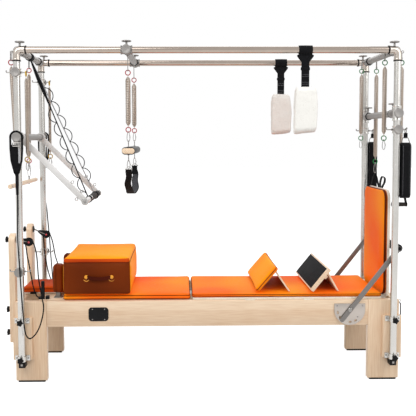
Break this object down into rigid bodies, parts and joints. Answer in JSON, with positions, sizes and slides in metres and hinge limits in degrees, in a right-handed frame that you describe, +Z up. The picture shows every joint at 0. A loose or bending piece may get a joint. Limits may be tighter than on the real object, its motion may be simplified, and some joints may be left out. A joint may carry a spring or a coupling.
{
  "type": "pilates trapeze table",
  "caption": "Wooden exercise table with a rolling carriage under a steel tube tower hung with springs, bars, slings, loops and cuffs, with a jump board and foot bar.",
  "frame": {"origin": "centre of the tower's plan, on the floor", "axes": "+X along the bed towards the foot end with the jump board, +Y across away from the pictured side, +Z up"},
  "size_m": [2.5163, 0.8591, 2.112],
  "materials": {
    "maple": "clear satin varnish on light maple",
    "satin_tube": "satin steel tube",
    "cast_grey": "light grey cast clamps and satin crossbars",
    "polished_tube": "polished steel rail",
    "spring_steel": "bare spring wire with coloured end rings",
    "orange_vinyl": "smooth orange vinyl with sewn edges",
    "black_web": "black webbing and braided rope",
    "black_plastic": "black moulded plastic",
    "dark_foam": "dark foam grip",
    "white_arm": "white powder coat",
    "foot_bar_tube": "satin tube with a foam grip",
    "white_fleece": "white sheepskin fleece"
  },
  "bodies": {
    "frame": {"side_rail_front": "maple", "side_rail_rear": "maple", "leg_front_left": "maple", "upright_front_left": "satin_tube", "leg_rear_left": "maple", "upright_rear_left": "satin_tube", "leg_front_right": "maple", "upright_front_right": "satin_tube", "leg_rear_right": "maple", "upright_rear_right": "satin_tube", "end_board_head": "maple", "head_crossbar": "cast_grey", "end_board_foot": "maple", "foot_crossbar": "cast_grey", "push_bar_axle": "cast_grey", "top_rail_front": "polished_tube", "pulley_riser_front": "maple", "rope_front": "black_web", "hand_loop_front": "black_web", "foot_bar_bracket_front": "satin_tube", "top_rail_rear": "polished_tube", "pulley_riser_rear": "maple", "rope_rear": "black_web", "hand_loop_rear": "black_web", "foot_bar_bracket_rear": "satin_tube"},
    "push_bar": {"push_bar": "white_arm", "push_bar_grip": "dark_foam", "safety_sling": "black_web"},
    "roll_down": {"roll_down_spring_front": "spring_steel", "roll_down_spring_rear": "spring_steel", "roll_down_bar": "maple"},
    "arm_spring_front": {"arm_spring_front": "spring_steel"},
    "arm_spring_rear": {"arm_spring_rear": "spring_steel"},
    "trolley": {"trolley_crossbar": "cast_grey"},
    "trapeze": {"trapeze_spring_front": "spring_steel", "trapeze_spring_rear": "spring_steel", "trapeze_bar": "black_plastic", "trapeze_sling": "black_web"},
    "sliding_crossbar": {"sliding_crossbar": "cast_grey"},
    "leg_spring_short_front": {"leg_spring_short_front": "spring_steel"},
    "leg_spring_long_front": {"leg_spring_long_front": "spring_steel"},
    "foot_loop_front": {"foot_loop_front": "black_web"},
    "fleece_cuff_front": {"fleece_cuff_front": "white_fleece"},
    "sheave_front": {"sheave_front": "black_plastic"},
    "carriage": {"shoulder_rest_front": "orange_vinyl", "shoulder_rest_rear": "orange_vinyl", "carriage_deck": "maple", "carriage_pad": "orange_vinyl"},
    "leg_spring_short_rear": {"leg_spring_short_rear": "spring_steel"},
    "leg_spring_long_rear": {"leg_spring_long_rear": "spring_steel"},
    "foot_loop_rear": {"foot_loop_rear": "black_web"},
    "fleece_cuff_rear": {"fleece_cuff_rear": "white_fleece"},
    "sheave_rear": {"sheave_rear": "black_plastic"},
    "head_rest": {"head_rest": "orange_vinyl"},
    "sitting_box": {"sitting_box": "orange_vinyl"},
    "long_mat": {"long_mat": "orange_vinyl"},
    "leaning_pad": {"leaning_pad": "orange_vinyl"},
    "standing_board": {"standing_board": "maple"},
    "jump_board": {"jump_board": "orange_vinyl"},
    "foot_bar": {"foot_bar": "foot_bar_tube"}
  },
  "joints": [
    {"name": "push_bar_swing", "type": "hinge", "parent": "frame", "child": "push_bar", "pos_m": [-1.15, 0, 1.53], "axis": [0, -1, 0], "range_deg": [0, 60], "deforming": ["safety_sling"]},
    {"name": "roll_down_swing", "type": "hinge", "parent": "frame", "child": "roll_down", "pos_m": [-1.2, 0, 1.994], "axis": [0, 1, 0], "range_deg": [0, 30]},
    {"name": "arm_spring_front_swing", "type": "hinge", "parent": "frame", "child": "arm_spring_front", "pos_m": [-1.094, -0.37, 1.918], "axis": [-1, 0, 0], "range_deg": [0, 20]},
    {"name": "arm_spring_rear_swing", "type": "hinge", "parent": "frame", "child": "arm_spring_rear", "pos_m": [-1.094, 0.37, 1.918], "axis": [1, 0, 0], "range_deg": [0, 20]},
    {"name": "trolley_slide", "type": "slide", "parent": "frame", "child": "trolley", "axis": [1, 0, 0], "range_m": [-0.15, 0.75]},
    {"name": "trapeze_swing", "type": "hinge", "parent": "trolley", "child": "trapeze", "pos_m": [-0.49, 0, 1.934], "axis": [0, -1, 0], "range_deg": [0, 15]},
    {"name": "sliding_crossbar_slide", "type": "slide", "parent": "frame", "child": "sliding_crossbar", "axis": [0, 0, 1], "range_m": [0, 0.25]},
    {"name": "leg_spring_short_front_swing", "type": "hinge", "parent": "frame", "child": "leg_spring_short_front", "pos_m": [1.098, -0.28, 1.994], "axis": [0, 1, 0], "range_deg": [0, 25]},
    {"name": "leg_spring_long_front_swing", "type": "hinge", "parent": "frame", "child": "leg_spring_long_front", "pos_m": [1.202, -0.28, 1.994], "axis": [0, -1, 0], "range_deg": [0, 25]},
    {"name": "leg_spring_short_rear_swing", "type": "hinge", "parent": "frame", "child": "leg_spring_short_rear", "pos_m": [1.098, 0.28, 1.994], "axis": [0, 1, 0], "range_deg": [0, 25]},
    {"name": "leg_spring_long_rear_swing", "type": "hinge", "parent": "frame", "child": "leg_spring_long_rear", "pos_m": [1.202, 0.28, 1.994], "axis": [0, -1, 0], "range_deg": [0, 25]},
    {"name": "foot_loop_front_swing", "type": "hinge", "parent": "frame", "child": "foot_loop_front", "pos_m": [1.2057, -0.37, 1.571], "axis": [-1, 0, 0], "range_deg": [0, 25]},
    {"name": "fleece_cuff_front_swing", "type": "hinge", "parent": "frame", "child": "fleece_cuff_front", "pos_m": [0.589, -0.37, 2.052], "axis": [-1, 0, 0], "range_deg": [0, 30]},
    {"name": "foot_loop_rear_swing", "type": "hinge", "parent": "frame", "child": "foot_loop_rear", "pos_m": [1.2057, 0.37, 1.571], "axis": [1, 0, 0], "range_deg": [0, 25]},
    {"name": "fleece_cuff_rear_swing", "type": "hinge", "parent": "frame", "child": "fleece_cuff_rear", "pos_m": [0.545, 0.37, 2.052], "axis": [1, 0, 0], "range_deg": [0, 30]},
    {"name": "sheave_front_spin", "type": "hinge", "parent": "frame", "child": "sheave_front", "pos_m": [-1.121, -0.25, 0.873], "axis": [0, 1, 0], "continuous": true},
    {"name": "sheave_rear_spin", "type": "hinge", "parent": "frame", "child": "sheave_rear", "pos_m": [-1.108, 0.25, 0.852], "axis": [0, 1, 0], "continuous": true},
    {"name": "carriage_roll", "type": "slide", "parent": "frame", "child": "carriage", "axis": [1, 0, 0], "range_m": [0, 0.006]},
    {"name": "head_rest_tilt", "type": "hinge", "parent": "carriage", "child": "head_rest", "pos_m": [-0.921, 0, 0.517], "axis": [0, 1, 0], "range_deg": [0, 25]},
    {"name": "sitting_box_lift", "type": "slide", "parent": "carriage", "child": "sitting_box", "axis": [0, 0, 1], "range_m": [0, 0.25]},
    {"name": "long_mat_lift", "type": "slide", "parent": "frame", "child": "long_mat", "axis": [0, 0, 1], "range_m": [0, 0.2]},
    {"name": "leaning_pad_lift", "type": "slide", "parent": "long_mat", "child": "leaning_pad", "axis": [0, 0, 1], "range_m": [0, 0.15]},
    {"name": "standing_board_lift", "type": "slide", "parent": "long_mat", "child": "standing_board", "axis": [0, 0, 1], "range_m": [0, 0.15]},
    {"name": "jump_board_lift", "type": "slide", "parent": "frame", "child": "jump_board", "axis": [0, 0, 1], "range_m": [0, 0.2]},
    {"name": "foot_bar_swing", "type": "hinge", "parent": "frame", "child": "foot_bar", "pos_m": [0.888, 0, 0.45], "axis": [0, 1, 0], "range_deg": [0, 36]}
  ]
}
